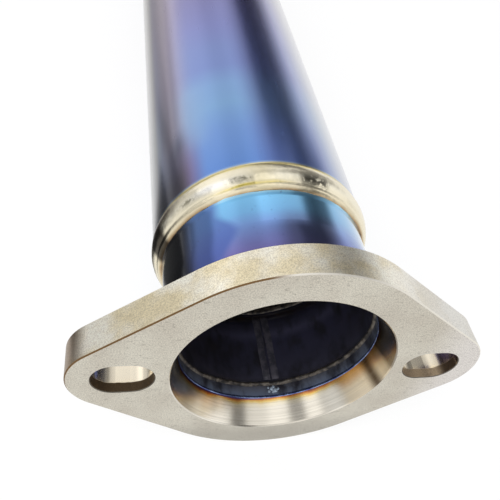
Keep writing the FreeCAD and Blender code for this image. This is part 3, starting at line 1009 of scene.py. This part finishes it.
def mirrored_floor(graph):
    """The floor as the metal mirrors it: white close by and on the right, and on the left grey
    with darker zones, as the room beyond a lit table would be."""
    x, y, _ = graph.split(graph.nodes.new("ShaderNodeTexCoord").outputs["Object"])
    x = graph.product(x, 1 / MM)
    y = graph.math("ADD", graph.product(y, 1 / MM), END / 2)
    slanted = graph.math("ADD", y, graph.product(x, 1.1))
    leaning = graph.math("ADD", x, graph.product(y, 0.56))
    far = graph.ramp(graph.span(x, -1400.0, 0.0, smooth=False), [
        (0.0, grey(0.36)), (0.43, grey(0.42)), (0.55, grey(0.8)), (0.67, grey(0.8)),
        (0.81, grey(0.56)), (0.89, grey(0.4)), (0.92, grey(0.42)), (0.94, grey(0.78)),
        (0.96, grey(0.95)),
    ])
    far = graph.tinted(far, grey(0.15), graph.between(x, -760.0, -260.0, 30.0),
                       graph.between(y, 240.0, 540.0, 60.0), 0.75)
    far = graph.tinted(far, grey(0.12), graph.between(x, -1700.0, -300.0, 100.0),
                       graph.between(slanted, 5.0, 95.0, 40.0), 0.85)
    far = graph.tinted(far, grey(0.08), graph.between(x, -250.0, -150.0, 30.0),
                       graph.hump(slanted, 125.0, 60.0), 0.65)
    floor = graph.tinted(far, grey(0.92), graph.span(y, 100.0, 76.0))
    return graph.tinted(floor, grey(0.06), graph.span(x, -330.0, -230.0),
                        graph.span(leaning, 8.0, -6.0), graph.between(y, 89.0, 215.0, 20.0))


def floor_paper():
    """White paper, mostly lit from within so that it stays white. The metal mirrors mirrored_floor
    instead."""
    material = bpy.data.materials.new("floor_paper")
    material.use_nodes = True
    graph = Graph(material.node_tree)
    mirrored = mirrored_floor(graph)
    in_mirror = graph.nodes.new("ShaderNodeLightPath").outputs["Is Glossy Ray"]
    glow = graph.nodes.new("ShaderNodeEmission")
    graph.put(glow.inputs["Color"], graph.mix(in_mirror, grey(1.0), mirrored))
    paper = graph.nodes["Principled BSDF"]
    graph.put(paper.inputs["Base Color"], grey(0.93))
    paper.inputs["Roughness"].default_value = 0.9
    paper.inputs["Specular IOR Level"].default_value = 0.0
    blend = graph.nodes.new("ShaderNodeMixShader")
    graph.put(blend.inputs[0], graph.math("MAXIMUM", in_mirror, 0.85))
    graph.links.new(paper.outputs[0], blend.inputs[1])
    graph.links.new(glow.outputs[0], blend.inputs[2])
    graph.links.new(blend.outputs[0], graph.nodes["Material Output"].inputs[0])
    return material


def add_floor():
    under = cad_box[0][2] - FLOOR_GAP * MM
    bpy.ops.mesh.primitive_plane_add(size=FLOOR_WIDTH, location=(0, END * MM / 2, under))
    floor = bpy.context.object
    floor.name = "floor"
    floor.data.materials.append(floor_paper())


BRIGHTEST = 1.4
# Light from round the tube, as (degrees from straight up towards +X, brightness). Each list holds for
# what the metal mirrors from one slope along the tube.
FRONT = [
    (-180, 0.9), (-95, 0.95), (-60, 0.85), (-40, 1.15), (-20, 1.0), (0, 1.0), (38, 0.9), (45, 0.08),
    (61, 0.08), (70, 0.9), (180, 0.9),
]
OVERHEAD = [
    (-180, 0.55), (-126, 0.5), (-122, 0.14), (-103, 0.12), (-98, 0.8), (-80, 0.8), (-76, 0.6),
    (-48, 0.64), (-46, 1.4), (-31, 1.4), (-29, 0.26), (-14, 0.28), (-12, 1.4), (8, 1.4), (10, 1.05),
    (32, 1.0), (35, 0.2), (48, 0.22), (51, 1.1), (80, 1.0), (96, 0.5), (130, 0.12), (180, 0.5),
]
BEHIND_LOW = [
    (-180, 0.6), (-92, 0.4), (-86, 0.64), (-67, 0.62), (-61, 1.1), (-42, 1.1), (-30, 0.85),
    (-16, 0.8), (-5, 0.9), (6, 0.7), (24, 0.5), (32, 0.2), (54, 0.14), (70, 0.5), (84, 1.0),
    (180, 1.0),
]
BEHIND_NEAR = [
    (-180, 0.6), (-92, 0.4), (-86, 0.62), (-67, 0.6), (-61, 1.15), (-38, 1.1), (-28, 0.9),
    (-12, 0.95), (-5, 1.35), (12, 1.15), (40, 1.0), (48, 0.2), (58, 0.08), (74, 0.14), (84, 0.9),
    (180, 1.0),
]
BEHIND_FAR = [
    (-180, 0.6), (-100, 0.7), (-86, 0.9), (-81, 1.2), (-78, 1.25), (-75, 1.05), (-40, 1.05),
    (-26, 0.88), (-12, 0.9), (-4, 1.0), (6, 0.95), (18, 0.65), (26, 0.14), (34, 0.05), (57, 0.05),
    (68, 0.5), (80, 1.1), (180, 1.1),
]
# Where the light goes over to the next list, between two slopes given as the Y part of a direction
CHANGES = [
    (OVERHEAD, -0.35, -0.2), (BEHIND_LOW, 0.22, 0.38), (BEHIND_NEAR, 0.62, 0.7),
    (BEHIND_FAR, 0.72, 0.79),
]


def add_world():
    """A white studio with soft dark gaps between its lamps, which the camera sees as plain white."""
    world = bpy.data.worlds.new("studio")
    world.use_nodes = True
    graph = Graph(world.node_tree)
    x, y, z = graph.split(graph.nodes.new("ShaderNodeTexCoord").outputs["Generated"])
    angle = graph.product(graph.math("ARCTAN2", x, z), 180 / math.pi)
    place = graph.span(angle, -180.0, 180.0, smooth=False)

    def shine(lamps):
        stops = [(degrees / 360 + 0.5, grey(light / BRIGHTEST)) for degrees, light in lamps]
        return graph.ramp(place, stops)

    light = shine(FRONT)
    for lamps, low, high in CHANGES:
        light = graph.mix(graph.span(y, low, high), light, shine(lamps))
    seen = graph.nodes.new("ShaderNodeLightPath").outputs["Is Camera Ray"]
    background = graph.nodes["Background"]
    graph.put(background.inputs["Color"], graph.mix(seen, light, grey(1.0 / BRIGHTEST)))
    background.inputs["Strength"].default_value = BRIGHTEST
    bpy.context.scene.world = world


def add_lights():
    """A large soft lamp in front for the matt surfaces; the metal mirrors the studio alone."""
    lamp = bpy.data.lights.new("key", "AREA")
    lamp.shape = "RECTANGLE"
    lamp.size, lamp.size_y = 0.8, 1.2
    lamp.energy = 16
    key = bpy.data.objects.new("key", lamp)
    key.location = (-0.5, -0.7, 1.3)
    aim = Vector((0, 0.1, 0)) - key.location
    key.rotation_euler = aim.to_track_quat("-Z", "Y").to_euler()
    key.visible_glossy = False
    bpy.context.collection.objects.link(key)


# Colours show as they are given, without a film curve
bpy.context.scene.view_settings.view_transform = "Standard"
materials = make_materials()
dress_nodes(materials)
add_welds(materials)
add_fill(materials)
add_camera()
add_floor()
add_world()
add_lights()
